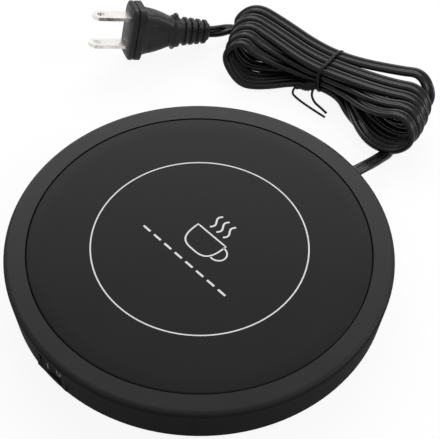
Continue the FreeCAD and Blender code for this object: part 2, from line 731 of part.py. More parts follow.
def cord_clamp():
    """Bar that presses the cord on the floor's two posts, with its two screws."""
    turn = size("cord_azimuth")
    thick = 1.8
    low = size("cord_height") + size("cord_thickness") / 2 - 1.2
    bar = doc.addObject("Part::Feature", "clamp_bar")
    shape = Part.makeBox(5.0, 17.0, thick, Vector(-2.5, -8.5, 0))
    for side in (-1, 1):
        shape = shape.cut(Part.makeCylinder(size("screw_radius") + 0.1, 4, Vector(0, side * 6.0, -1)))
    groove = Part.makeCylinder(size("cord_thickness") / 2 + 0.05, 12, Vector(-6, 0, size("cord_height") - low),
                               Vector(1, 0, 0))
    bar.Shape = shape.cut(groove)
    around_z = FreeCAD.Rotation(Vector(0, 0, 1), turn)
    bar.Placement = FreeCAD.Placement(around_z.multVec(Vector(size("clamp_place"), 0, 0)) + Vector(0, 0, low), around_z)
    NODES["cord_clamp"] = bar
    screws = []
    for side in (-1, 1):
        head = clamp_rod(f"clamp_head_{side}", "screw_head_radius", "screw_head_height", side, str(low + thick))
        shank = clamp_rod(f"clamp_shank_{side}", "screw_radius", "5", side, str(low + thick - 4.9))
        screws.append(joined(f"clamp_screw_{side}", [head, shank]))
    NODES["clamp_screws"] = grouped("clamp_pair", screws)


def wires():
    """Insulated wires between the cord, the switch, the thermostat and the fuse."""
    turn = math.radians(size("cord_azimuth"))
    cord_end = Vector(math.cos(turn), math.sin(turn), 0) * (size("clamp_place") - 3.4)
    level = size("floor_top") + 2.2
    terminal = -(size("switch_back") - 5.2)
    upright = size("switch_height")
    under = size("press_under") - size("thermostat_height") - 0.6
    live, _ = tube("live_wire", [cord_end + Vector(-0.9, 0, upright - 1), Vector(-8, 40, level), Vector(-18, 18, level),
                                 Vector(-18, -20, level), Vector(-6, -42, level + 1), Vector(0, terminal, upright)], 0.75)
    feed, _ = tube("feed_wire", [Vector(3.8, terminal, upright), Vector(8, -42, level + 1), Vector(9, -26, level),
                                 Vector(5, -10, level), Vector(3.5, -3, under)], 0.75)
    neutral, _ = tube("neutral_wire", [cord_end + Vector(1.3, 0, upright - 1), Vector(14, 38, level), Vector(24, 22, level),
                                       Vector(26, 10, level + 0.8), Vector(24, 7, size("press_under") - 1.2)], 0.75)
    NODES["internal_wires"] = grouped("wire_set", [live, feed, neutral])


for build in (top_cover, base_pan, heating_stack, stud_nuts, heat_controls, fasteners_and_feet, switch_housing,
              switch_rocker, switch_contact, switch_terminals, strain_relief, cord_clamp, wires, cord, plug, twist_tie):
    build()
doc.recompute()

for item in doc.Objects:
    if "Invalid" in item.State or "Error" in item.State:
        raise RuntimeError(f"{item.Name} failed: {item.State}")
for node, item in NODES.items():
    item.Label = node
    shape = item.Shape
    if shape.isNull() or not shape.isValid() or not shape.Solids:
        raise RuntimeError(f"{node} has no valid solid")
for node, item in NODES.items():
    item.Shape.exportStep(f"parts/{node}.step")
    low = item.Shape.BoundBox.ZMin
    print(f"{node}: {len(item.Shape.Solids)} solids, {item.Shape.Volume:.1f} mm3, lowest {low:.2f}")
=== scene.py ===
import math

import bmesh
import bpy
import numpy as np
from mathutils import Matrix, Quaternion, Vector


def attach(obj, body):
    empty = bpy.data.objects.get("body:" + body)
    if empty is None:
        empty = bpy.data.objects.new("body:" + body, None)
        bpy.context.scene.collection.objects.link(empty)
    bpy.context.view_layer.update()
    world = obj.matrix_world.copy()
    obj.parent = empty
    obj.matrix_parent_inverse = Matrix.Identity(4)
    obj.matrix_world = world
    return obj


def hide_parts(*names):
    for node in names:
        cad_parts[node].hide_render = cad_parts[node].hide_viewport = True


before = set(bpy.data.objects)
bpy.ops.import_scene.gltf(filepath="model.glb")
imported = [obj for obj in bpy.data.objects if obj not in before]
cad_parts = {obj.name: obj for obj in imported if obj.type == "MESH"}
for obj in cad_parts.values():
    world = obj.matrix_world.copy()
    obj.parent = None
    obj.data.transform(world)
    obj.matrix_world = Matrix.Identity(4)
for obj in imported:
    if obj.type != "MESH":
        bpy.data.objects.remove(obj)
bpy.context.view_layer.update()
scene = bpy.context.scene
scene.view_settings.view_transform = "Standard"

# The view: from above and to the right of the switch, as the photograph looks down on the plate.
# A long lens a little under half a metre away, turned slightly about its own axis.
CAMERA_PLACE = Vector((0.19763, -0.18853, 0.36841))
CAMERA_AIM = Vector((-0.00335, 0.01317, 0.018))
CAMERA_ROLL = math.radians(1.8375)
SENSOR_WIDTH_MM = 36.0
FOCAL_LENGTH_MM = 101.76
lens = bpy.data.cameras.new("camera")
lens.sensor_width = SENSOR_WIDTH_MM
lens.lens = FOCAL_LENGTH_MM
lens.clip_start = 0.01
camera = bpy.data.objects.new("camera", lens)
scene.collection.objects.link(camera)
camera.location = CAMERA_PLACE
camera.rotation_mode = "QUATERNION"
level_view = (CAMERA_PLACE - CAMERA_AIM).to_track_quat("Z", "Y")
camera.rotation_quaternion = level_view @ Quaternion((0, 0, 1), CAMERA_ROLL)
scene.camera = camera


# The tabletop: a plain white sheet under everything. It looks white to the eye and in reflections,
# and darkens a little where the warmer shades it.
FLOOR_HALF = 4.0
FLOOR_DROP = 0.0002
FLOOR_PAINT = (0.92, 0.92, 0.92, 1)
FLOOR_WHITE_SHARE = 0.9
WHITE = (1, 1, 1, 1)


def seen_directly(tree):
    """A value of 1 for what the camera, a reflection or a transparent part sees, and 0 for light."""
    path = tree.nodes.new("ShaderNodeLightPath")
    value = path.outputs["Is Camera Ray"]
    for name in ("Is Glossy Ray", "Is Transmission Ray"):
        both = tree.nodes.new("ShaderNodeMath")
        both.operation = "MAXIMUM"
        tree.links.new(value, both.inputs[0])
        tree.links.new(path.outputs[name], both.inputs[1])
        value = both.outputs[0]
    return value


def floor_finish():
    """White paint mixed with a plain white glow that only sight and reflections find."""
    material = bpy.data.materials.new("floor_white")
    material.use_nodes = True
    tree = material.node_tree
    tree.nodes.clear()
    paint = tree.nodes.new("ShaderNodeBsdfDiffuse")
    paint.inputs["Color"].default_value = FLOOR_PAINT
    glow = tree.nodes.new("ShaderNodeEmission")
    glow.inputs["Color"].default_value = WHITE
    share = tree.nodes.new("ShaderNodeMath")
    share.operation = "MULTIPLY"
    share.inputs[1].default_value = FLOOR_WHITE_SHARE
    tree.links.new(seen_directly(tree), share.inputs[0])
    mix = tree.nodes.new("ShaderNodeMixShader")
    tree.links.new(share.outputs[0], mix.inputs[0])
    tree.links.new(paint.outputs[0], mix.inputs[1])
    tree.links.new(glow.outputs[0], mix.inputs[2])
    output = tree.nodes.new("ShaderNodeOutputMaterial")
    tree.links.new(mix.outputs[0], output.inputs["Surface"])
    return material


floor_mesh = bpy.data.meshes.new("floor")
floor_corners = np.array([(-1, -1, 0), (1, -1, 0), (1, 1, 0), (-1, 1, 0)], float) * FLOOR_HALF
floor_corners[:, 2] = -FLOOR_DROP
floor_mesh.from_pydata(floor_corners.tolist(), [], [(0, 1, 2, 3)])
floor_mesh.materials.append(floor_finish())
floor = bpy.data.objects.new("floor", floor_mesh)
scene.collection.objects.link(floor)


# The light: an even pale room, one large soft box high behind the warmer that the plate reflects,
# a small one behind and to the right that the cord's loops catch, and a weak one overhead.
ROOM_LIGHT = 0.5


def soft_box(name, toward, distance, width, height, radiance):
    """A rectangular lamp that shines on the case's centre from one direction."""
    data = bpy.data.lights.new(name, "AREA")
    data.shape = "RECTANGLE"
    data.size = width
    data.size_y = height
    data.energy = radiance * math.pi * width * height
    lamp = bpy.data.objects.new(name, data)
    direction = Vector(toward).normalized()
    lamp.location = direction * distance
    lamp.rotation_mode = "QUATERNION"
    lamp.rotation_quaternion = direction.to_track_quat("Z", "Y")
    scene.collection.objects.link(lamp)


soft_box("back_box", toward=(-0.56, 0.56, 0.62), distance=1.1, width=1.3, height=0.42, radiance=5.4)
soft_box("side_box", toward=(0.55, 0.65, 0.46), distance=1.2, width=0.4, height=0.3, radiance=12.0)
soft_box("top_box", toward=(0.25, 0.35, 1.0), distance=1.3, width=0.9, height=0.9, radiance=0.35)
room = bpy.data.worlds.new("room")
room.use_nodes = True
scene.world = room
background = room.node_tree.nodes["Background"]
background.inputs["Color"].default_value = WHITE
room_level = room.node_tree.nodes.new("ShaderNodeMapRange")
room_level.inputs["To Min"].default_value = ROOM_LIGHT
room_level.inputs["To Max"].default_value = 1.0
room.node_tree.links.new(seen_directly(room.node_tree), room_level.inputs["Value"])
room.node_tree.links.new(room_level.outputs["Result"], background.inputs["Strength"])


# The cord: flat two-core mains cord, black vinyl with a groove between its cores. It leaves the back
# wall, makes five loops and one more run of a flattened hank, and ends in the plug.
CORD_WIDE = 0.0050
CORD_THICK = 0.0025
CORD_WEB = 0.0013
CORD_OUTLINE_POINTS = 32
CORD_STEPS = 16
UP = np.array([0.0, 0.0, 1.0])
DOUBLES_APART = 1e-7

# The cord's way out of the case, in millimetres in the object's frame.
CASE_RADIUS = 70.0
CLAMP_PLACE = 56.0
PAST_CLAMP = 3
OUTSIDE_WALL = 6.5
LEAD_LIFT = 0.02
LEAD_PLACES = [(9.2, 84.2, 5.5), (8.4, 90.5, 3.2)]
CORD_HEIGHT = 8.0
CORD_AZIMUTH = math.radians(83.0)

# The hank, in millimetres along, across and up in its own axes. A list holds one value for each loop,
# and a slot is the column and row of a run where the tie gathers them.
HANK_CENTRE = (-35.5, 105.5)
HANK_ANGLE = math.radians(16.0)
HANK_ALONG = np.array([math.cos(HANK_ANGLE), math.sin(HANK_ANGLE), 0.0])
HANK_ACROSS = np.array([-math.sin(HANK_ANGLE), math.cos(HANK_ANGLE), 0.0])
LOOPS = 5
LEFT_END = [40.0, 41.5, 43.0, 44.5, 45.5]
RIGHT_END = [46.5, 47.0, 46.5, 45.5, 43.0]
LEFT_TOP_ACROSS = [-9.5, -4.6, 0.4, 5.4, 10.8]
RIGHT_TOP_ACROSS = [-15.0, -10.0, -5.0, 0.5, 9.0]
LEFT_LEAN = 7.5
RIGHT_LEAN = [8.0, 8.0, 8.2, 8.8, 11.5]
END_DRAWN_IN = 5.0
END_BULGE = 2.2
LEFT_LOW_DRAWN_IN = 7.0
LEFT_LOW_SHOULDER = 24.5
LEFT_LOW = 1.35
LEFT_HIGH = 17.5
RIGHT_LOW = 4.6
RIGHT_HIGH = 19.5
SHOULDER = 28.0
LOW_RUN_LIFT = 0.45
HIGH_RUN_LIFT = 0.5
OVER_LEAD = 5.6
WAIST_HALF = 8.0
WAIST_SHIFT = 2.2
WAIST_LOW = 2.6
WAIST_STEP_ACROSS = 5.3
WAIST_STEP_UP = 3.25
UPPER_SLOTS = [(-1, 1), (-1, 2), (-1, 3), (0, 3), (1, 3)]
LOWER_SLOTS = [(-1, 0), (0, 0), (0, 1), (0, 2), (1, 0), (1, 1)]
FIRST_RUN = [(39.0, -21.1, 1.35), (36.5, -15.8, 1.3), (27.0, -15.5, 1.3), (16.5, -10.5, 1.8)]
LAST_RUN = [(-SHOULDER, 9.6, 2.6), (-38.0, 10.2, 1.5), (-45.5, 10.2, 1.6), (-50.0, 7.2, 3.3)]
ACROSS_FROM = (30.0, -19.0, 1.3)
ACROSS_UNTIL = (-30.0, 2.7, 1.6)
TURNING_PART = 80
PLUG_TURNING = 1.6

# Where the cord enters the plug, which way the plug points, and how it is rolled on the table.
PLUG_REAR = np.array([-88.9, 88.0, 5.7])
PLUG_DIRECTION = np.array([-0.470, -0.873, 0.242])
PLUG_ROLL = math.radians(77.0)
PLUG_LEAD = 4


def unit(vectors):
    """Each vector over its own length."""
    return vectors / np.linalg.norm(vectors, axis=-1, keepdims=True)


def hank_point(place):
    """A place (along, across, up) of the hank's own axes, in the object's frame, in millimetres."""
    along, across, up = place
    return np.array([*HANK_CENTRE, 0.0]) + along * HANK_ALONG + across * HANK_ACROSS + up * UP


def waist_place(slot):
    """Where a run passes the waist, from its column and row in the bundle."""
    return WAIST_SHIFT + slot[0] * WAIST_STEP_ACROSS, WAIST_LOW + slot[1] * WAIST_STEP_UP


def between(end_value, waist_value, share):
    """A value between an end of the hank, at a share of 1, and its waist, at 0."""
    return end_value * share + waist_value * (1 - share)


def hank_route():
    """Control points of the loops: each lower run goes left, each upper run comes back right."""
    left_middle = (LEFT_LOW + LEFT_HIGH) / 2
    right_middle = (RIGHT_LOW + RIGHT_HIGH) / 2
    route = list(FIRST_RUN)
    for turn in range(LOOPS + 1):
        across, up = waist_place(LOWER_SLOTS[turn])
        if turn > 0:
            end = RIGHT_TOP_ACROSS[turn - 1] - RIGHT_LEAN[turn - 1]
            rise = between(RIGHT_LOW, up, LOW_RUN_LIFT) if turn > 1 else OVER_LEAD
            route += [(RIGHT_END[turn - 1] - END_DRAWN_IN, end, RIGHT_LOW), (SHOULDER, end, rise)]
        route += [(WAIST_HALF, across, up), (-WAIST_HALF, across, up)]
        if turn == LOOPS:
            break
        end = LEFT_TOP_ACROSS[turn] - LEFT_LEAN
        route += [(-LEFT_LOW_SHOULDER, end, between(LEFT_LOW, up, LOW_RUN_LIFT)),
                  (LEFT_LOW_DRAWN_IN - LEFT_END[turn], end, LEFT_LOW),
                  (-LEFT_END[turn] - END_BULGE, end + LEFT_LEAN / 2, left_middle)]
        across, up = waist_place(UPPER_SLOTS[turn])
        end = LEFT_TOP_ACROSS[turn]
        route += [(END_DRAWN_IN - LEFT_END[turn], end, LEFT_HIGH),
                  (-SHOULDER, end, between(LEFT_HIGH, up, HIGH_RUN_LIFT)),
                  (-WAIST_HALF, across, up), (WAIST_HALF, across, up)]
        end = RIGHT_TOP_ACROSS[turn]
        route += [(SHOULDER, end, between(RIGHT_HIGH, up, HIGH_RUN_LIFT)),
                  (RIGHT_END[turn] - END_DRAWN_IN, end, RIGHT_HIGH),
                  (RIGHT_END[turn] + END_BULGE, end - RIGHT_LEAN[turn] / 2, right_middle)]
    return [hank_point(place) for place in route + LAST_RUN]


def spline_line(points, steps):
    """Points in metres along one quadratic NURBS spline, from control points in millimetres."""
    curve = bpy.data.curves.new("route", "CURVE")
    curve.dimensions = "3D"
    curve.resolution_u = steps
    spline = curve.splines.new("NURBS")
    spline.points.add(len(points) - 1)
    places = np.ones((len(points), 4))
    places[:, :3] = np.array(points) / 1000
    spline.points.foreach_set("co", places.ravel())
    spline.order_u = 3
    spline.use_endpoint_u = True
    holder = bpy.data.objects.new("route", curve)
    scene.collection.objects.link(holder)
    bpy.context.view_layer.update()
    mesh = bpy.data.meshes.new_from_object(holder)
    line = np.zeros(len(mesh.vertices) * 3)
    mesh.vertices.foreach_get("co", line)
    line = line.reshape(-1, 3)
    bpy.data.objects.remove(holder)
    bpy.data.meshes.remove(mesh)
    bpy.data.curves.remove(curve)
    apart = np.linalg.norm(np.diff(line, axis=0), axis=1) > DOUBLES_APART
    return line[np.concatenate([[True], apart])]


def grid_faces(rows, columns, closed_rows=False):
    """Four-cornered faces between neighbouring points of a grid, rows along and columns around."""
    row = np.arange(rows if closed_rows else rows - 1)
    column = np.arange(columns)
    r, c = np.meshgrid(row, column, indexing="ij")
    r_next, c_next = (r + 1) % rows, (c + 1) % columns
    corners = [r * columns + c, r * columns + c_next,
               r_next * columns + c_next, r_next * columns + c]
    return np.stack(corners, -1).reshape(-1, 4).tolist()


def sweep(line, sides, outline, closed=False):
    """An outline carried along a line: point = line + wide * side + high * (tangent x side).

    The outline is (columns, 2) or (rows, columns, 2), going anticlockwise in (wide, high).
    """
    if closed:
        tangents = unit(np.roll(line, -1, 0) - np.roll(line, 1, 0))
    else:
        tangents = unit(np.gradient(line, axis=0))
    sides = unit(sides - np.sum(sides * tangents, 1, keepdims=True) * tangents)
    highs = np.cross(tangents, sides)
    outline = np.broadcast_to(outline, (len(line),) + np.shape(outline)[-2:])
    points = line[:, None] + outline[..., :1] * sides[:, None] + outline[..., 1:] * highs[:, None]
    rows, columns = points.shape[:2]
    faces = grid_faces(rows, columns, closed_rows=closed)
    if not closed:
        faces.append(list(range(columns))[::-1])
        faces.append(list(range((rows - 1) * columns, rows * columns)))
    return points.reshape(-1, 3), faces


def new_piece(name, parts, finish, body="case", crease_degrees=None):
    """One mesh piece from (points, faces) parts, with its finish, riding on a body."""
    points, faces, shift = [], [], 0
    for part_points, part_faces in parts:
        points.append(part_points)
        faces += [[index + shift for index in face] for face in part_faces]
        shift += len(part_points)
    mesh = bpy.data.meshes.new(name)
    mesh.from_pydata(np.concatenate(points).tolist(), [], faces)
    work = bmesh.new()
    work.from_mesh(mesh)
    bmesh.ops.remove_doubles(work, verts=work.verts, dist=DOUBLES_APART)
    work.to_mesh(mesh)
    work.free()
    mesh.polygons.foreach_set("use_smooth", [True] * len(mesh.polygons))
    if crease_degrees is not None:
        mesh.set_sharp_from_angle(angle=math.radians(crease_degrees))
    mesh.materials.append(finish)
    piece = bpy.data.objects.new(name, mesh)
    scene.collection.objects.link(piece)
    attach(piece, body)
    return piece


def twin_outline():
    """Two round cores side by side, joined by a thin web.

    Half height = sqrt(r^2 - (|wide| - r)^2), and between the cores at least half the web's.
    """
    core = CORD_THICK / 2
    turn = np.linspace(0, 2 * math.pi, CORD_OUTLINE_POINTS, endpoint=False)
    wide = CORD_WIDE / 2 * np.cos(turn)
    high = np.sqrt(np.maximum(core ** 2 - (np.abs(wide) - core) ** 2, 0))
    high = np.where(np.abs(wide) < core, np.maximum(high, CORD_WEB / 2), high)
    return np.stack([wide, np.sign(np.round(np.sin(turn), 6)) * high], 1)


PATCH_EDGES = (0.35, 0.65)
# Normal heights between which the painted side shade and the side roughness fade out, from upright to level.
UPRIGHT_TO_LEVEL = (0.3, 0.98)


def add_sockets(group, direction, sockets):
    """Named sockets on one side of a node group."""
    for label, kind in sockets:
        group.interface.new_socket(label, in_out=direction, socket_type=kind)


def worked_surface():
    """Patches of two colours and two roughnesses over soft noise, and a fine grain for the bump.

    The position is multiplied by Stretch first, so that a grain can run one way.
    """
    group = bpy.data.node_groups.new("worked_surface", "ShaderNodeTree")
    number, colour_kind = "NodeSocketFloat", "NodeSocketColor"
    add_sockets(group, "INPUT", [
        ("Stretch", "NodeSocketVector"), ("Patch Size", number), ("Grain Size", number),
        ("Grain Depth", number), ("Colour", colour_kind), ("Patch Colour", colour_kind),
        ("Roughness", number), ("Patch Roughness", number)])
    add_sockets(group, "OUTPUT", [("Colour", colour_kind), ("Roughness", number), ("Height", number)])
    make, link = group.nodes.new, group.links.new
    given, result = make("NodeGroupInput"), make("NodeGroupOutput")
    place, stretched = make("ShaderNodeTexCoord"), make("ShaderNodeVectorMath")
    stretched.operation = "MULTIPLY"
    link(place.outputs["Object"], stretched.inputs[0])
    link(given.outputs["Stretch"], stretched.inputs[1])
    noises = []
    for label, detail in (("Patch Size", 4.0), ("Grain Size", 2.0)):
        scale, noise = make("ShaderNodeMath"), make("ShaderNodeTexNoise")
        scale.operation = "DIVIDE"
        scale.inputs[0].default_value = 1.0
        link(given.outputs[label], scale.inputs[1])
        link(scale.outputs[0], noise.inputs["Scale"])
        link(stretched.outputs[0], noise.inputs["Vector"])
        noise.inputs["Detail"].default_value = detail
        noises.append(noise)
    patch = make("ShaderNodeMapRange")
    patch.inputs["From Min"].default_value = PATCH_EDGES[0]
    patch.inputs["From Max"].default_value = PATCH_EDGES[1]
    link(noises[0].outputs["Fac"], patch.inputs["Value"])
    colour = make("ShaderNodeMix")
    colour.data_type = "RGBA"
    link(patch.outputs["Result"], colour.inputs[0])
    link(given.outputs["Colour"], colour.inputs[6])
    link(given.outputs["Patch Colour"], colour.inputs[7])
    link(colour.outputs[2], result.inputs["Colour"])
    rough = make("ShaderNodeMapRange")
    link(patch.outputs["Result"], rough.inputs["Value"])
    link(given.outputs["Roughness"], rough.inputs["To Min"])
    link(given.outputs["Patch Roughness"], rough.inputs["To Max"])
    link(rough.outputs["Result"], result.inputs["Roughness"])
    height = make("ShaderNodeMath")
    height.operation = "MULTIPLY"
    link(noises[1].outputs["Fac"], height.inputs[0])
    link(given.outputs["Grain Depth"], height.inputs[1])
    link(height.outputs[0], result.inputs["Height"])
    return group


def side_shade_and_matt():
    """A painted shade and a rougher surface where a moulding's wall stands upright: the colour is darkened
    there to stand in for the shade that falls on upright walls.

    The height of the normal says how level a place is: 0 on an upright wall and 1 on a level top.
    """
    group = bpy.data.node_groups.new("side_shade_and_matt", "ShaderNodeTree")
    number, colour_kind = "NodeSocketFloat", "NodeSocketColor"
    add_sockets(group, "INPUT", [
        ("Colour", colour_kind), ("Roughness", number), ("Painted Side Shade", number), ("Side Roughness", number)])
    add_sockets(group, "OUTPUT", [("Colour", colour_kind), ("Roughness", number)])
    make, link = group.nodes.new, group.links.new
    given, result = make("NodeGroupInput"), make("NodeGroupOutput")
    place, split = make("ShaderNodeTexCoord"), make("ShaderNodeSeparateXYZ")
    link(place.outputs["Normal"], split.inputs[0])
    level = make("ShaderNodeMapRange")
    level.inputs["From Min"].default_value = UPRIGHT_TO_LEVEL[0]
    level.inputs["From Max"].default_value = UPRIGHT_TO_LEVEL[1]
    link(split.outputs["Z"], level.inputs["Value"])
    # Painted shade: the colour is scaled by a share that runs from the side value on upright walls to 1 on
    # level tops.
    shade_share, shade = make("ShaderNodeMapRange"), make("ShaderNodeVectorMath")
    rough = make("ShaderNodeMapRange")
    link(level.outputs["Result"], shade_share.inputs["Value"])
    link(given.outputs["Painted Side Shade"], shade_share.inputs["To Min"])
    shade.operation = "SCALE"
    link(given.outputs["Colour"], shade.inputs[0])
    link(shade_share.outputs["Result"], shade.inputs["Scale"])
    link(shade.outputs[0], result.inputs["Colour"])
    link(level.outputs["Result"], rough.inputs["Value"])
    link(given.outputs["Side Roughness"], rough.inputs["To Min"])
    link(given.outputs["Roughness"], rough.inputs["To Max"])
    link(rough.outputs["Result"], result.inputs["Roughness"])
    return group


WORKED = worked_surface()
SIDE_SHADE_AND_MATT = side_shade_and_matt()


def finish(name, colour, patch_colour, rough, patch_rough, patch_mm=20.0, grain_mm=0.4, depth_mm=0.004,
           metallic=0.0, specular=0.5, stretch=(1.0, 1.0, 1.0), sides=None):
    """A material from the worked surface, with the constant values set on the shader itself.

    The two values of sides are the share of the colour on upright walls, which darkens them as painted shade,
    and the roughness there.
    """
    material = bpy.data.materials.new(name)
    material.use_nodes = True
    tree = material.node_tree
    shader = tree.nodes["Principled BSDF"]
    shader.inputs["Metallic"].default_value = metallic
    shader.inputs["Specular IOR Level"].default_value = specular
    surface = tree.nodes.new("ShaderNodeGroup")
    surface.node_tree = WORKED
    surface.inputs["Stretch"].default_value = stretch
    surface.inputs["Patch Size"].default_value = patch_mm / 1000
    surface.inputs["Grain Size"].default_value = grain_mm / 1000
    surface.inputs["Grain Depth"].default_value = depth_mm / 1000
    surface.inputs["Colour"].default_value = (*colour, 1)
    surface.inputs["Patch Colour"].default_value = (*patch_colour, 1)
    surface.inputs["Roughness"].default_value = rough
    surface.inputs["Patch Roughness"].default_value = patch_rough
    bump = tree.nodes.new("ShaderNodeBump")
    bump.inputs["Distance"].default_value = 1.0
    worked = surface
    # Upright walls get painted shade: their colour is scaled down by how upright the normal is, and their
    # roughness changes.
    if sides is not None:
        worked = tree.nodes.new("ShaderNodeGroup")
        worked.node_tree = SIDE_SHADE_AND_MATT
        worked.inputs["Painted Side Shade"].default_value = sides[0]
        worked.inputs["Side Roughness"].default_value = sides[1]
        for label in ("Colour", "Roughness"):
            tree.links.new(surface.outputs[label], worked.inputs[label])
    tree.links.new(worked.outputs["Colour"], shader.inputs["Base Color"])
    tree.links.new(worked.outputs["Roughness"], shader.inputs["Roughness"])
    tree.links.new(surface.outputs["Height"], bump.inputs["Height"])
    tree.links.new(bump.outputs["Normal"], shader.inputs["Normal"])
    return material


def plug_axes():
    """The plug's axes: back along the cord, across the blades' row, and along the row."""
    back = unit(-PLUG_DIRECTION)
    flat = unit(np.cross(UP, back))
    upright = np.cross(back, flat)
    row = upright * math.sin(PLUG_ROLL) + flat * math.cos(PLUG_ROLL)
    return back, np.cross(row, back), row


def cord_sides(line):
    """The cord's wide direction: across the hank between two places, and level along the rest.

    The second place picks an earlier lower run than the last, so the last loop is level too. Near the
    plug the wide direction turns to the blades' row.
    """
    tangents = unit(np.gradient(line, axis=0))
    level = np.cross(UP, tangents)
    first = np.argmin(np.linalg.norm(line - hank_point(ACROSS_FROM) / 1000, axis=1))
    last = np.argmin(np.linalg.norm(line - hank_point(ACROSS_UNTIL) / 1000, axis=1))
    place = np.arange(len(line))
    ramp = len(line) / TURNING_PART
    share = np.clip((place - first) / ramp, 0, 1) * np.clip((last - place) / ramp, 0, 1)
    sides = level * (1 - share[:, None]) - HANK_ACROSS * share[:, None]
    back, _, row = plug_axes()
    near_plug = np.clip((place - len(line)) / (PLUG_TURNING * ramp) + 1.0, 0, 1)[:, None]
    row = row if row @ level[-1] > 0 else -row
    return sides * (1 - near_plug) + row * near_plug


CORD_BLACK = finish("cord_vinyl", (0.0045, 0.0045, 0.0047), (0.0075, 0.0075, 0.0077), 0.20, 0.30,
                    patch_mm=14, grain_mm=0.5, depth_mm=0.002, specular=0.20)
outward = np.array([math.cos(CORD_AZIMUTH), math.sin(CORD_AZIMUTH), 0.0])
cord_inside = outward * (CLAMP_PLACE - PAST_CLAMP) + UP * CORD_HEIGHT
cord_outlet = outward * (CASE_RADIUS + OUTSIDE_WALL) + UP * CORD_HEIGHT
plug_back, plug_across, _ = plug_axes()
control_points = [cord_inside, (cord_inside + cord_outlet) / 2 + UP * LEAD_LIFT, cord_outlet]
control_points += LEAD_PLACES + hank_route()
control_points += [PLUG_REAR + PLUG_LEAD * plug_back, PLUG_REAR]
cord_path = spline_line(control_points, CORD_STEPS)
cord_sweep = sweep(cord_path, cord_sides(cord_path), twin_outline())
cord = new_piece("flat_cord", [cord_sweep], CORD_BLACK)
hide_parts("cord_lead", "cord_hank", "cord_plug_lead")


# The tie: a thin plastic-covered wire round the hank's waist. Its two ends are twisted together at
# the front, and then run on loose over the table side by side. Places are in the hank's axes.
TIE_WIRE = 0.00070
TIE_SIDES = 12
TIE_STEPS = 10
BAND_HALF_WIDE = 8.75
BAND_HALF_TALL = 6.75
BAND_MIDDLE_UP = 7.45
BAND_SQUARENESS = 3.6
BAND_POINTS = 120
BAND_ALONG = 0.2
BAND_SLANT = 1.3
BAND_WAVE = 0.25
TWIST_START = (-1.2, -7.1, 5.9)
TWIST_RUN = (-8.2, -2.4, -2.9)
TWIST_TURNS = 3.5
TWIST_POINTS = 90
TWIST_RADIUS = 0.45
TWIST_SWELL = 1.05
SWELL_START = 0.12
SWELL_SPAN = 1.2
LOWER_END_WIRE = 0.00048
LOWER_END = [(-9.2, -9.6, 3.6), (-10.4, -11.6, 1.4), (-6.6, -13.0, 0.6), (1.4, -15.0, 0.5), (8.0, -16.4, 0.6)]
UPPER_END_WIRE = 0.00050
UPPER_END = [(-1.4, -7.2, 6.2), (-2.0, -10.4, 4.6), (0.6, -12.0, 1.6), (4.1, -12.8, 1.0), (7.6, -14.2, 0.8)]
TIE_BLACK = finish("tie_vinyl", (0.007, 0.007, 0.007), (0.012, 0.012, 0.012), 0.38, 0.52, patch_mm=5,
                   grain_mm=0.6, depth_mm=0.01, specular=0.15)


def round_outline(radius):
    """A circle of points, anticlockwise."""
    turn = np.linspace(0, 2 * math.pi, TIE_SIDES, endpoint=False)
    return radius * np.stack([np.cos(turn), np.sin(turn)], 1)


def hank_line(along, across, up):
    """Arrays of places in the hank's axes, in metres in the object's frame."""
    origin = np.array([*HANK_CENTRE, 0.0])
    line = along[:, None] * HANK_ALONG + across[:, None] * HANK_ACROSS + up[:, None] * UP
    return (origin + line) / 1000


def tie_band():
    """Loop |x/a|^n + |y/b|^n = 1 round the bundle, slightly slanting along the hank."""
    turn = np.linspace(0, 2 * math.pi, BAND_POINTS, endpoint=False)
    power = 2 / BAND_SQUARENESS
    across = WAIST_SHIFT + BAND_HALF_WIDE * np.sign(np.cos(turn)) * np.abs(np.cos(turn)) ** power
    up = BAND_MIDDLE_UP + BAND_HALF_TALL * np.sign(np.sin(turn)) * np.abs(np.sin(turn)) ** power
    along = BAND_ALONG + BAND_SLANT * np.cos(turn) + BAND_WAVE * np.sin(2 * turn)
    line = hank_line(along, across, up)
    return sweep(line, np.tile(HANK_ALONG, (len(line), 1)), round_outline(TIE_WIRE), closed=True)


def tie_strand(phase):
    """Helix round the straight line of the twisted tail: axis + r (cos, sin), with a changing r."""
    share = np.linspace(0, 1, TWIST_POINTS)
    turn = 2 * math.pi * TWIST_TURNS * share + phase
    swell = TWIST_SWELL * np.sin(math.pi * np.clip(share * SWELL_SPAN + SWELL_START, 0, 1)) + TWIST_RADIUS
    along = TWIST_START[0] + TWIST_RUN[0] * share
    across = TWIST_START[1] + TWIST_RUN[1] * share + swell * np.cos(turn)
    up = TWIST_START[2] + TWIST_RUN[2] * share + swell * np.sin(turn)
    line = hank_line(along, across, up)
    return sweep(line, np.tile(HANK_ACROSS, (len(line), 1)), round_outline(TIE_WIRE))


def tie_end(places, radius):
    """A loose end of the wire, on a smooth line drawn towards a few places in the hank's axes."""
    line = spline_line([hank_point(place) for place in places], TIE_STEPS)
    return sweep(line, np.tile(UP + 0.01 * HANK_ACROSS, (len(line), 1)), round_outline(radius))


band = new_piece("tie_band", [tie_band()], TIE_BLACK)
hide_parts("twist_tie")
twist = new_piece("tie_twist", [tie_strand(0.0), tie_strand(math.pi)], TIE_BLACK)
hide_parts("tie_tail")
loose_ends = [tie_end(LOWER_END, LOWER_END_WIRE), tie_end(UPPER_END, UPPER_END_WIRE)]
hairpin = new_piece("tie_loose_end", loose_ends, TIE_BLACK)


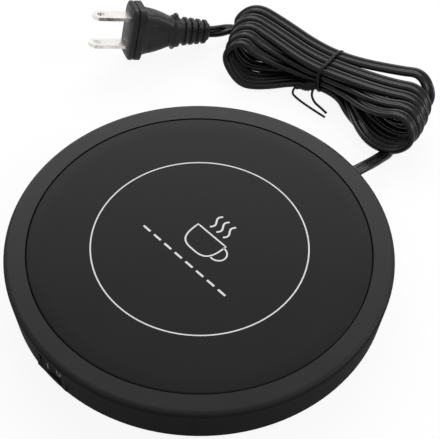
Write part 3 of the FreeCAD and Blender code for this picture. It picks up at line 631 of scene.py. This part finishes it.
# The plug: one moulding in black vinyl with a ridged flange, a waisted grip with a sunk panel on each
# side, a collar with two small ears, and four rings of strain relief that thin towards the cord.
PLUG_LENGTH = 35.9
PLUG_COLUMNS = 72
PLUG_STEP = 0.15
PLUG_HALF_WIDTHS = [(0, 6.3), (0.6, 7.0), (5.3, 7.0), (5.6, 6.6), (6.2, 5.8), (12, 5.2), (18.6, 4.9),
                    (19.2, 5.4), (19.8, 5.8), (22.0, 5.6), (22.6, 4.3), (35.2, 3.0), (35.9, 2.6)]
PLUG_HALF_HEIGHTS = [(0, 11.0), (0.6, 11.8), (5.3, 11.8), (5.6, 11.2), (6.2, 9.8), (9, 9.5), (12, 8.8),
                     (15, 7.7), (17.4, 6.6), (18.8, 6.1), (19.6, 6.6), (22.0, 6.4), (22.6, 5.3),
                     (35.2, 4.2), (35.9, 3.5)]
PLUG_SQUARENESS = [(0, 5.0), (5.6, 5.0), (8, 3.6), (18, 3.0), (23, 2.6), (35.9, 2.3)]
RINGS_SPAN = (23.7, 35.3)
RING_MIDDLE = 25.15
RING_PITCH = 2.9
RING_EDGE = 0.3
RING_STEEPNESS = 2.2
RING_FULLNESS = 0.6
RING_OUT_WIDE = 0.75
RING_OUT_TALL = 0.9
FLANGE_GROOVE = 2.4
FLANGE_GROOVE_WIDTH = 0.28
FLANGE_GROOVE_DEPTH = 0.55
PANEL_SPAN = (7.4, 17.4)
PANEL_TALL_SHARE = 0.55
PANEL_EDGE = 0.5
PANEL_DEPTH = 0.55
EAR_PLACE = 20.4
EAR_LONG = 1.0
EAR_WIDE = 2.0
EAR_OUT = 1.7


def along_plug(x, table):
    """Values of a table of (x, value) at each x, straight between its rows."""
    places, values = zip(*table)
    return np.interp(x, places, values)


def inside(x, span, edge):
    """A value of 1 inside a span and 0 outside it, with slopes as long as edge at both ends."""
    return np.clip((x - span[0]) / edge, 0, 1) * np.clip((span[1] - x) / edge, 0, 1)


def plug_surface():
    """Rounded-box sections along the plug: |y/a(x)|^n + |z/b(x)|^n = 1, with rings added to a and b.

    x runs back from the plug's face. The grip's panels sink y where x and z are inside them, and the
    collar's ears raise z.
    """
    x = np.arange(0, PLUG_LENGTH + PLUG_STEP / 2, PLUG_STEP)
    half_wide = along_plug(x, PLUG_HALF_WIDTHS)
    half_tall = along_plug(x, PLUG_HALF_HEIGHTS)
    wave = RING_STEEPNESS * np.cos(2 * math.pi * (x - RING_MIDDLE) / RING_PITCH)
    ring_rise = np.clip(wave + RING_FULLNESS, 0, 1) * inside(x, RINGS_SPAN, RING_EDGE)
    half_wide = half_wide + RING_OUT_WIDE * ring_rise
    half_tall = half_tall + RING_OUT_TALL * ring_rise
    groove = np.exp(-((x - FLANGE_GROOVE) / FLANGE_GROOVE_WIDTH) ** 2)
    half_wide = half_wide - FLANGE_GROOVE_DEPTH * groove
    half_tall = half_tall - FLANGE_GROOVE_DEPTH * groove
    power = 2 / along_plug(x, PLUG_SQUARENESS)
    turn = np.linspace(0, 2 * math.pi, PLUG_COLUMNS, endpoint=False) + math.pi / PLUG_COLUMNS
    cosine, sine = np.cos(turn)[None], np.sin(turn)[None]
    y = half_wide[:, None] * np.sign(cosine) * np.abs(cosine) ** power[:, None]
    z = half_tall[:, None] * np.sign(sine) * np.abs(sine) ** power[:, None]
    along_panel = inside(x, PANEL_SPAN, PANEL_EDGE)
    across_panel = np.clip((PANEL_TALL_SHARE * half_tall[:, None] - np.abs(z)) / PANEL_EDGE, 0, 1)
    y = y - PANEL_DEPTH * np.sign(y) * along_panel[:, None] * across_panel
    ear = np.exp(-((x - EAR_PLACE) / EAR_LONG) ** 4)[:, None] * np.exp(-(y / EAR_WIDE) ** 4)
    z = z + EAR_OUT * np.sign(z) * ear
    line = (PLUG_REAR + (x[:, None] - PLUG_LENGTH) * plug_back) / 1000
    return sweep(line, np.tile(plug_across, (len(line), 1)), np.stack([y, z], -1) / 1000)


PLUG_BLACK = finish("plug_vinyl", (0.012, 0.012, 0.0122), (0.017, 0.017, 0.0172), 0.36, 0.46, patch_mm=9,
                    grain_mm=0.5, depth_mm=0.006, specular=0.2)
plug = new_piece("plug_moulding", [plug_surface()], PLUG_BLACK, crease_degrees=40)
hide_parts("plug_body")


# The heated plate: a flat aluminium disc with a smooth black non-stick coat. Its edge is slightly
# rounded, so a dark seam shows between it and the rim.
PLATE_RADIUS = 61.8
PLATE_TOP = 18.0
PLATE_THICKNESS = 2.0
PLATE_EDGE = 0.7
PLATE_EDGE_POINTS = 7
PLATE_TOP_RINGS = 12
TURN_STEPS = 288


def turned(profile):
    """A profile of (radius, height) carried round the upright axis: (r cos t, r sin t, h)."""
    turn = np.linspace(0, 2 * math.pi, TURN_STEPS, endpoint=False)
    radius, height = profile[:, 0, None], profile[:, 1, None]
    points = np.stack([radius * np.cos(turn), radius * np.sin(turn), height + 0 * turn], -1)
    faces = grid_faces(len(profile), TURN_STEPS)
    return points.reshape(-1, 3) / 1000, faces


def plate_profile():
    """From the underside's centre out, round the upper edge by a quarter circle, and back in on top."""
    turn = np.linspace(0, math.pi / 2, PLATE_EDGE_POINTS)
    edge = np.stack([PLATE_RADIUS - PLATE_EDGE + PLATE_EDGE * np.cos(turn),
                     PLATE_TOP - PLATE_EDGE + PLATE_EDGE * np.sin(turn)], 1)
    under = np.array([(0.0, PLATE_TOP - PLATE_THICKNESS), (PLATE_RADIUS, PLATE_TOP - PLATE_THICKNESS)])
    rings = np.linspace(PLATE_RADIUS - PLATE_EDGE, 0, PLATE_TOP_RINGS)[1:]
    return np.concatenate([under, edge, np.stack([rings, np.full(len(rings), PLATE_TOP)], 1)])


PLATE_BLACK = finish("plate_coat", (0.0100, 0.0100, 0.0102), (0.0112, 0.0112, 0.0114), 0.36, 0.40,
                     patch_mm=34, grain_mm=0.5, depth_mm=0.0012, specular=0.07)
plate = new_piece("plate_disc", [turned(plate_profile())], PLATE_BLACK,
                  crease_degrees=50)
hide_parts("heating_plate")


# The print on the plate: a thin ring where the mug stands, a plain cup with rising warmth, and a row
# of dashes, all in white heat-proof ink.
INK_THICKNESS = 0.00002
RING_RADIUS = 39.0
RING_WIDTH = 0.5
RING_STEPS = 288
CUP_HALF_WIDE = 7.2
CUP_DEEP = 9.4
CUP_RIM_UP = 6.0
CUP_SQUARENESS = 3.2
CUP_LINE = 0.6
HANDLE_MIDDLE = (7.4, 1.9)
HANDLE_HALF_WIDE = 3.4
HANDLE_HALF_TALL = 3.1
HANDLE_TURN = 1.75
STEAM_PLACES = (-3.4, 0.0, 3.4)
STEAM_SWING = 0.8
STEAM_FOOT = 8.2
STEAM_TALL = 6.6
STEAM_LINE = 0.7
DASH_STARTS = np.arange(-20.0, 19.0, 5.55)
DASH_LONG = 3.6
DASH_UP = -9.0
DASH_LINE = 0.8
INK_WHITE = finish("white_ink", (0.62, 0.62, 0.62), (0.70, 0.70, 0.70), 0.5, 0.6, patch_mm=3,
                   grain_mm=0.4, depth_mm=0.002, specular=0.3)


def ink_stroke(path, width, origin, x_axis, y_axis, closed=False):
    """A flat stroke of ink along a path of (x, y) on a plane: a thin box section swept along it."""
    origin, x_axis, y_axis = (np.array(v, float) for v in (origin, x_axis, y_axis))
    line = (origin + path[:, :1] * x_axis + path[:, 1:] * y_axis) / 1000
    normal = np.cross(x_axis, y_axis)
    if closed:
        tangents = np.roll(line, -1, 0) - np.roll(line, 1, 0)
    else:
        tangents = np.gradient(line, axis=0)
    sides = np.cross(tangents, normal)
    half = width / 2000
    outline = np.array([(-half, -INK_THICKNESS), (half, -INK_THICKNESS), (half, 0.0), (-half, 0.0)])
    return sweep(line, sides, outline, closed)


def ellipse(x, y, wide, tall, steps=48, start=0.0, stop=2 * math.pi, closed=True):
    """Points of an ellipse or part of one: (x + wide cos t, y + tall sin t)."""
    turn = np.linspace(start, stop, steps, endpoint=not closed)
    return np.stack([x + wide * np.cos(turn), y + tall * np.sin(turn)], 1)


def cup_outline():
    """A cup's outline: lower half of |x/a|^n + |y/b|^n = 1, closed by a straight rim."""
    turn = np.linspace(math.pi, 2 * math.pi, 40)
    power = 2 / CUP_SQUARENESS
    x = CUP_HALF_WIDE * np.sign(np.cos(turn)) * np.abs(np.cos(turn)) ** power
    y = CUP_RIM_UP + CUP_DEEP * np.sign(np.sin(turn)) * np.abs(np.sin(turn)) ** power
    rim = np.linspace(CUP_HALF_WIDE, -CUP_HALF_WIDE, 12)[1:-1]
    return np.concatenate([np.stack([x, y], 1), np.stack([rim, np.full(len(rim), CUP_RIM_UP)], 1)])


def cup_handle():
    """The right-hand part of an ellipse beside the cup."""
    return ellipse(*HANDLE_MIDDLE, HANDLE_HALF_WIDE, HANDLE_HALF_TALL, start=-HANDLE_TURN,
                   stop=HANDLE_TURN, closed=False)


def steam(x):
    """A rising wave: x + a sin(height)."""
    height = np.linspace(0, 1, 24)
    swing = x + STEAM_SWING * np.sin(2 * math.pi * height)
    return np.stack([swing, STEAM_FOOT + STEAM_TALL * height], 1)


def dash(x):
    """A short straight line that starts at x."""
    return np.stack([np.linspace(x, x + DASH_LONG, 6), np.full(6, DASH_UP)], 1)


PLATE_PLANE = dict(origin=(0, 0, PLATE_TOP), x_axis=(1, 0, 0), y_axis=(0, 1, 0))
ring_path = ellipse(0, 0, RING_RADIUS, RING_RADIUS, steps=RING_STEPS)
ring_stroke = ink_stroke(ring_path, RING_WIDTH, closed=True, **PLATE_PLANE)
new_piece("print_ring", [ring_stroke], INK_WHITE, crease_degrees=30)
cup_strokes = [ink_stroke(cup_outline(), CUP_LINE, closed=True, **PLATE_PLANE),
               ink_stroke(cup_handle(), CUP_LINE, **PLATE_PLANE)]
cup_strokes += [ink_stroke(steam(x), STEAM_LINE, **PLATE_PLANE) for x in STEAM_PLACES]
new_piece("print_cup", cup_strokes, INK_WHITE, crease_degrees=30)
dash_strokes = [ink_stroke(dash(x), DASH_LINE, **PLATE_PLANE) for x in DASH_STARTS]
new_piece("print_dashes", dash_strokes, INK_WHITE, crease_degrees=30)


# The switch: a glossy rocker in a satin frame, let into the front wall. A line and a ring are printed
# on its two faces; the ring's side is pressed, which is off.
ROCKER_PIVOT = 64.8
SWITCH_HEIGHT = 9.0
THROW = math.radians(8.0)
FACE_REACH = 3.5445
FACE_MIDDLE = 2.45
MARK_LINE = 0.4
ON_HALF_TALL = 1.5
OFF_HALF_WIDE = 0.95
OFF_HALF_TALL = 1.35
MARK_WHITE = finish("mark_ink", (0.20, 0.20, 0.20), (0.26, 0.26, 0.26), 0.5, 0.6, patch_mm=1.5,
                    grain_mm=0.4, depth_mm=0.002, specular=0.3)


def rocker_plane(side):
    """Middle and axes of one face of the rocker: side 1 is the pressed face, -1 the raised one."""
    x, y = side * FACE_MIDDLE, -FACE_REACH
    middle = (x * math.cos(THROW) - y * math.sin(THROW),
              x * math.sin(THROW) + y * math.cos(THROW) - ROCKER_PIVOT, SWITCH_HEIGHT)
    slope = THROW - side * THROW
    return dict(origin=middle, x_axis=(math.cos(slope), math.sin(slope), 0), y_axis=(0, 0, 1))


on_path = np.stack([np.zeros(6), np.linspace(-ON_HALF_TALL, ON_HALF_TALL, 6)], 1)
off_path = ellipse(0, 0, OFF_HALF_WIDE, OFF_HALF_TALL, steps=36)
mark_strokes = [ink_stroke(on_path, MARK_LINE, **rocker_plane(-1)),
                ink_stroke(off_path, MARK_LINE, closed=True, **rocker_plane(1))]
new_piece("rocker_marks", mark_strokes, MARK_WHITE, body="rocker", crease_degrees=30)

# The finishes of the pieces that keep their shape from the frame: the case, the switch's parts, the
# blades, and everything inside that shows when the warmer is opened or turned over.
NODE_FINISHES = {
    # The case's upright wall is darkened by sides as painted shade; the colour there is a share of the
    # satin's.
    "top_cover": finish("case_satin", (0.0140, 0.0140, 0.0142), (0.0160, 0.0160, 0.0162), 0.34, 0.40,
                        patch_mm=26, grain_mm=0.5, depth_mm=0.0012, specular=0.12, sides=(0.45, 0.95)),
    "base_pan": finish("pan_matt", (0.016, 0.016, 0.016), (0.024, 0.024, 0.024), 0.5, 0.62, patch_mm=18,
                       grain_mm=0.6, depth_mm=0.02),
    "rubber_feet": finish("foot_rubber", (0.012, 0.012, 0.012), (0.022, 0.021, 0.020), 0.7, 0.85, patch_mm=5,
                          grain_mm=0.5, depth_mm=0.03, specular=0.3),
    "cord_strain_relief": finish("relief_rubber", (0.013, 0.013, 0.013), (0.020, 0.020, 0.020), 0.5, 0.62,
                                 patch_mm=4, grain_mm=0.5, depth_mm=0.02, specular=0.35),
    "plate_seal": finish("seal_rubber", (0.008, 0.008, 0.008), (0.014, 0.014, 0.014), 0.7, 0.8, patch_mm=6,
                         depth_mm=0.02, specular=0.25),
    # Painted shade on the switch frame's upright faces, through sides.
    "switch_housing": finish("switch_satin", (0.014, 0.014, 0.014), (0.018, 0.018, 0.018), 0.30, 0.38,
                             patch_mm=5, depth_mm=0.004, specular=0.12, sides=(0.5, 0.9)),
    # Painted shade on the rocker's upright faces, through sides.
    "switch_rocker": finish("rocker_gloss", (0.010, 0.010, 0.010), (0.014, 0.014, 0.014), 0.16, 0.24,
                            patch_mm=4, depth_mm=0.002, specular=0.12, sides=(0.5, 0.85)),
    "plug_blades": finish("nickel_plate", (0.80, 0.79, 0.76), (0.70, 0.69, 0.66), 0.20, 0.32, patch_mm=4,
                          grain_mm=0.5, depth_mm=0.004, metallic=1.0),
    "heating_element": finish("element_foil", (0.55, 0.50, 0.44), (0.42, 0.36, 0.30), 0.35, 0.5, patch_mm=3,
                              depth_mm=0.01, metallic=1.0),
    "heat_shield": finish("rolled_aluminium", (0.72, 0.73, 0.74), (0.62, 0.63, 0.64), 0.3, 0.45, patch_mm=10,
                          grain_mm=0.6, depth_mm=0.01, metallic=1.0, stretch=(1.0, 0.08, 1.0)),
    "thermostat": finish("thermostat_steel", (0.52, 0.51, 0.50), (0.42, 0.41, 0.40), 0.3, 0.42, patch_mm=3,
                         depth_mm=0.01, metallic=1.0),
    "thermal_fuse": finish("fuse_sleeve", (0.70, 0.68, 0.62), (0.60, 0.57, 0.50), 0.8, 0.9, patch_mm=1.5,
                           grain_mm=0.3, depth_mm=0.08, specular=0.2),
    "switch_plunger": finish("plunger_nylon", (0.70, 0.69, 0.64), (0.62, 0.61, 0.56), 0.4, 0.5, patch_mm=2),
    "cord_clamp": finish("clamp_nylon", (0.62, 0.61, 0.57), (0.54, 0.53, 0.49), 0.45, 0.55, patch_mm=4,
                         depth_mm=0.01),
    "internal_wires": finish("wire_cover", (0.58, 0.56, 0.50), (0.48, 0.45, 0.40), 0.5, 0.62, patch_mm=6,
                             depth_mm=0.01),
}
PLATED = finish("zinc_plate", (0.60, 0.60, 0.58), (0.48, 0.48, 0.46), 0.28, 0.42, patch_mm=4, depth_mm=0.01,
                metallic=1.0)
MICA = finish("pressed_mica", (0.50, 0.44, 0.34), (0.62, 0.56, 0.45), 0.35, 0.6, patch_mm=3, grain_mm=1.2,
              depth_mm=0.04)
BRASS = finish("contact_brass", (0.66, 0.47, 0.20), (0.54, 0.37, 0.15), 0.28, 0.42, patch_mm=3,
               depth_mm=0.008, metallic=1.0)
BLACK_ZINC = finish("black_zinc", (0.10, 0.10, 0.10), (0.16, 0.16, 0.15), 0.35, 0.5, patch_mm=2,
                    depth_mm=0.01, metallic=1.0)
for node in ("pressure_plate", "plate_studs", "stud_nuts"):
    NODE_FINISHES[node] = PLATED
for node in ("upper_mica_sheet", "lower_mica_sheet"):
    NODE_FINISHES[node] = MICA
for node in ("switch_contact", "switch_terminals"):
    NODE_FINISHES[node] = BRASS
for node in ("case_screws", "clamp_screws"):
    NODE_FINISHES[node] = BLACK_ZINC
for node, look in NODE_FINISHES.items():
    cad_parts[node].data.materials.clear()
    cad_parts[node].data.materials.append(look)
